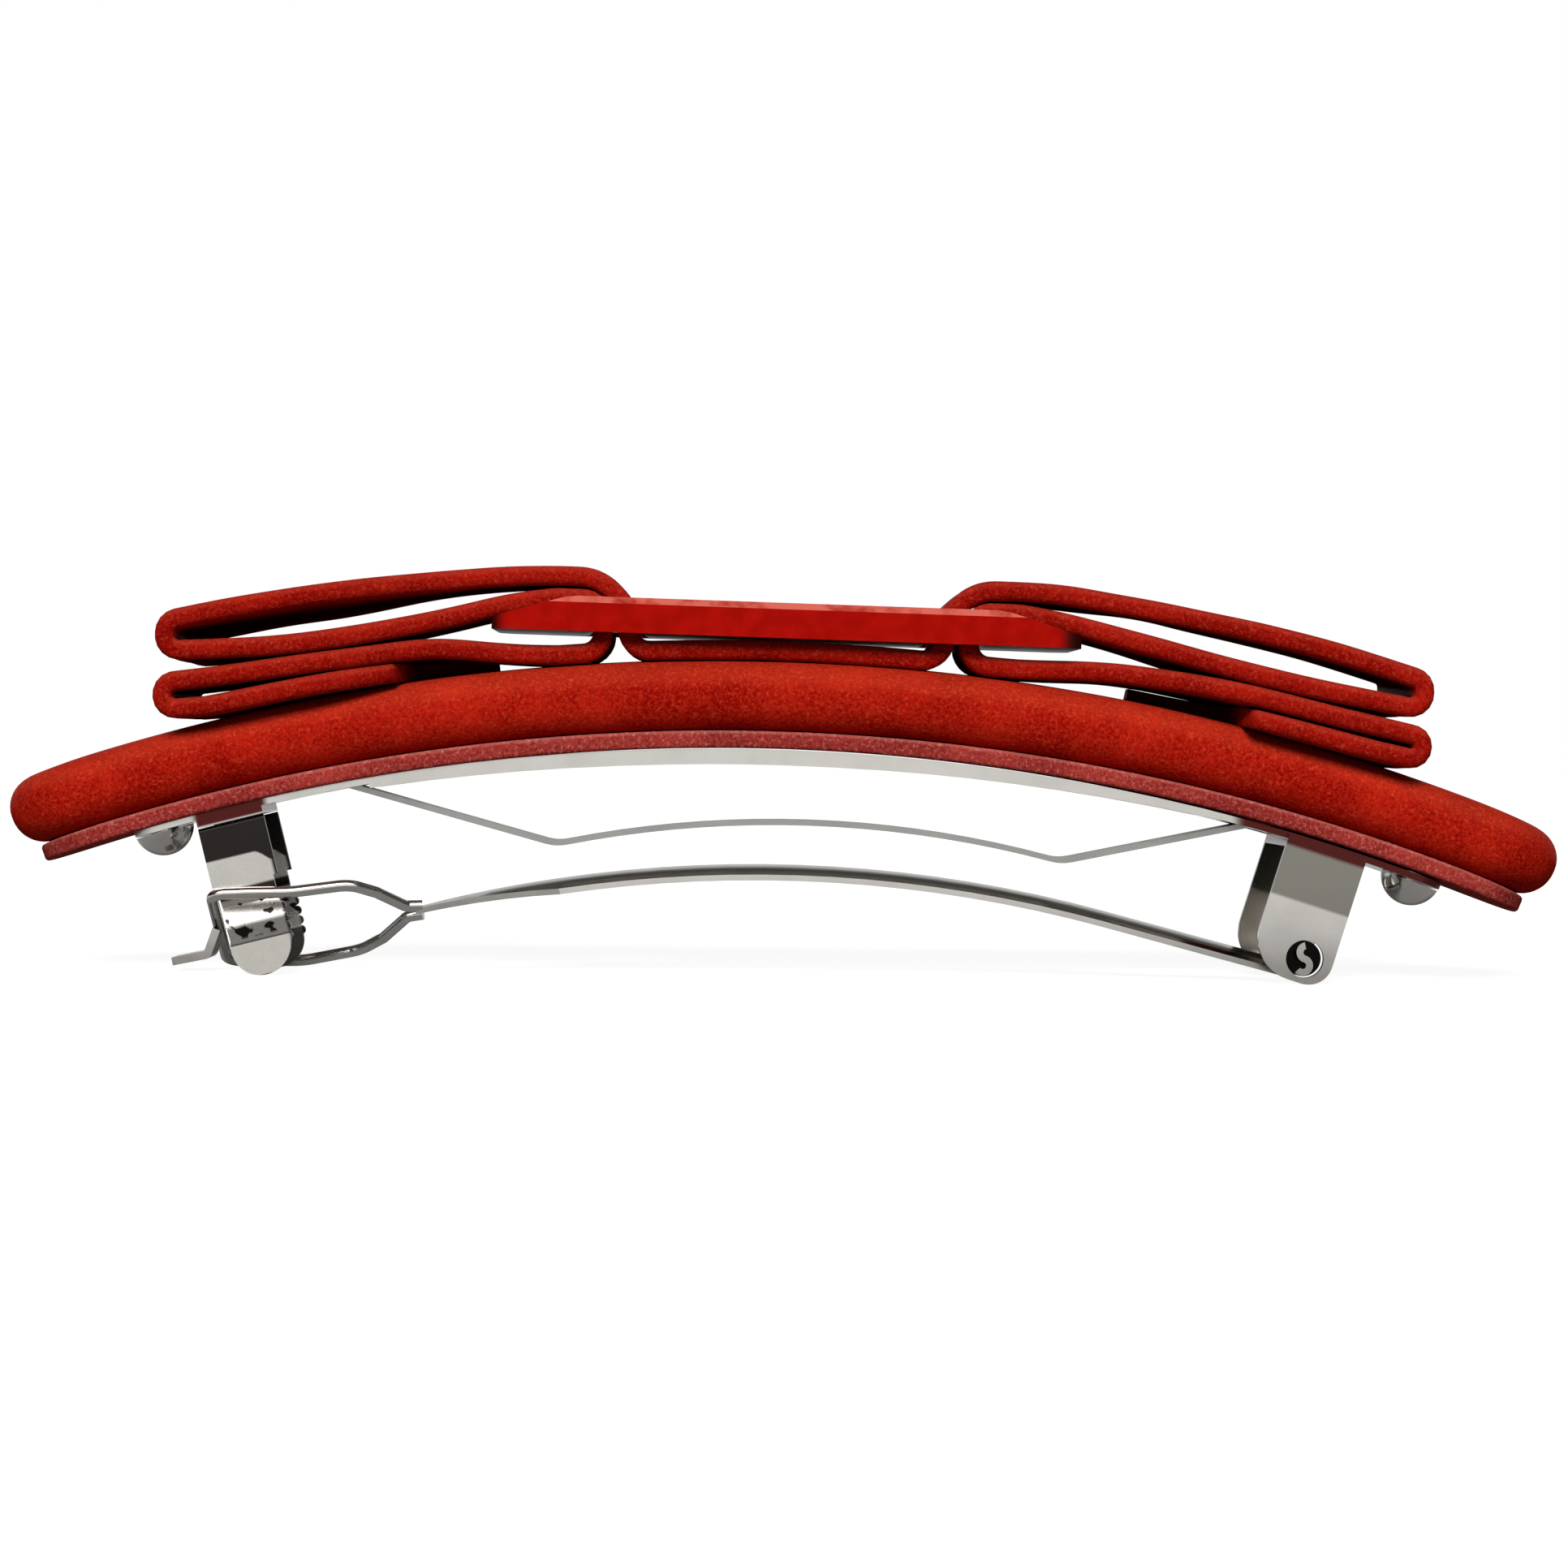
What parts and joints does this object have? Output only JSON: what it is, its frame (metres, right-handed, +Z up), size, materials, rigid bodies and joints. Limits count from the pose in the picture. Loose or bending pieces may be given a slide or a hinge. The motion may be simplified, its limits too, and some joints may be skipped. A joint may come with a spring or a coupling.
{
  "type": "hair barrette",
  "caption": "Arched leather hair barrette with a folded leather bow through a painted metal slotted plate, on a sprung metal clip with a hinged clasp arm.",
  "frame": {"origin": "bottom centre of the whole barrette, on the surface that it stands on", "axes": "+X along the bar, from the latch to the hinge; +Y to the back; +Z up, from the clip to the bow"},
  "size_m": [0.0961, 0.016, 0.0253],
  "materials": {
    "red_leather": "fine grain, satin",
    "lining_leather": "matt",
    "red_paint": "semi-gloss",
    "nickel": "polished"
  },
  "bodies": {
    "base": {"padded_bar": "red_leather", "lining_strip": "lining_leather", "bow_ribbon": "red_leather", "bow_plate": "red_paint", "clip_base": "nickel", "tension_spring": "nickel", "rivet_left": "nickel", "rivet_right": "nickel"},
    "clasp": {"clasp_arm": "nickel"},
    "front_tongue": {"latch_tongue_front": "nickel"},
    "back_tongue": {"latch_tongue_back": "nickel"}
  },
  "joints": [
    {"name": "clasp_hinge", "type": "hinge", "parent": "base", "child": "clasp", "pos_m": [0.03204, 0, 0.00157], "axis": [0, -1, 0], "range_deg": [0, 95]},
    {"name": "front_squeeze", "type": "hinge", "parent": "base", "child": "front_tongue", "pos_m": [-0.03353, -0.00435, 0.00912], "axis": [0.9697, 0, 0.2442], "range_deg": [0, 6], "stiffness_Nm_per_rad": 0.32},
    {"name": "back_squeeze", "type": "hinge", "parent": "base", "child": "back_tongue", "pos_m": [-0.03353, 0.00435, 0.00912], "axis": [-0.9697, 0, -0.2442], "range_deg": [0, 6], "stiffness_Nm_per_rad": 0.32}
  ]
}
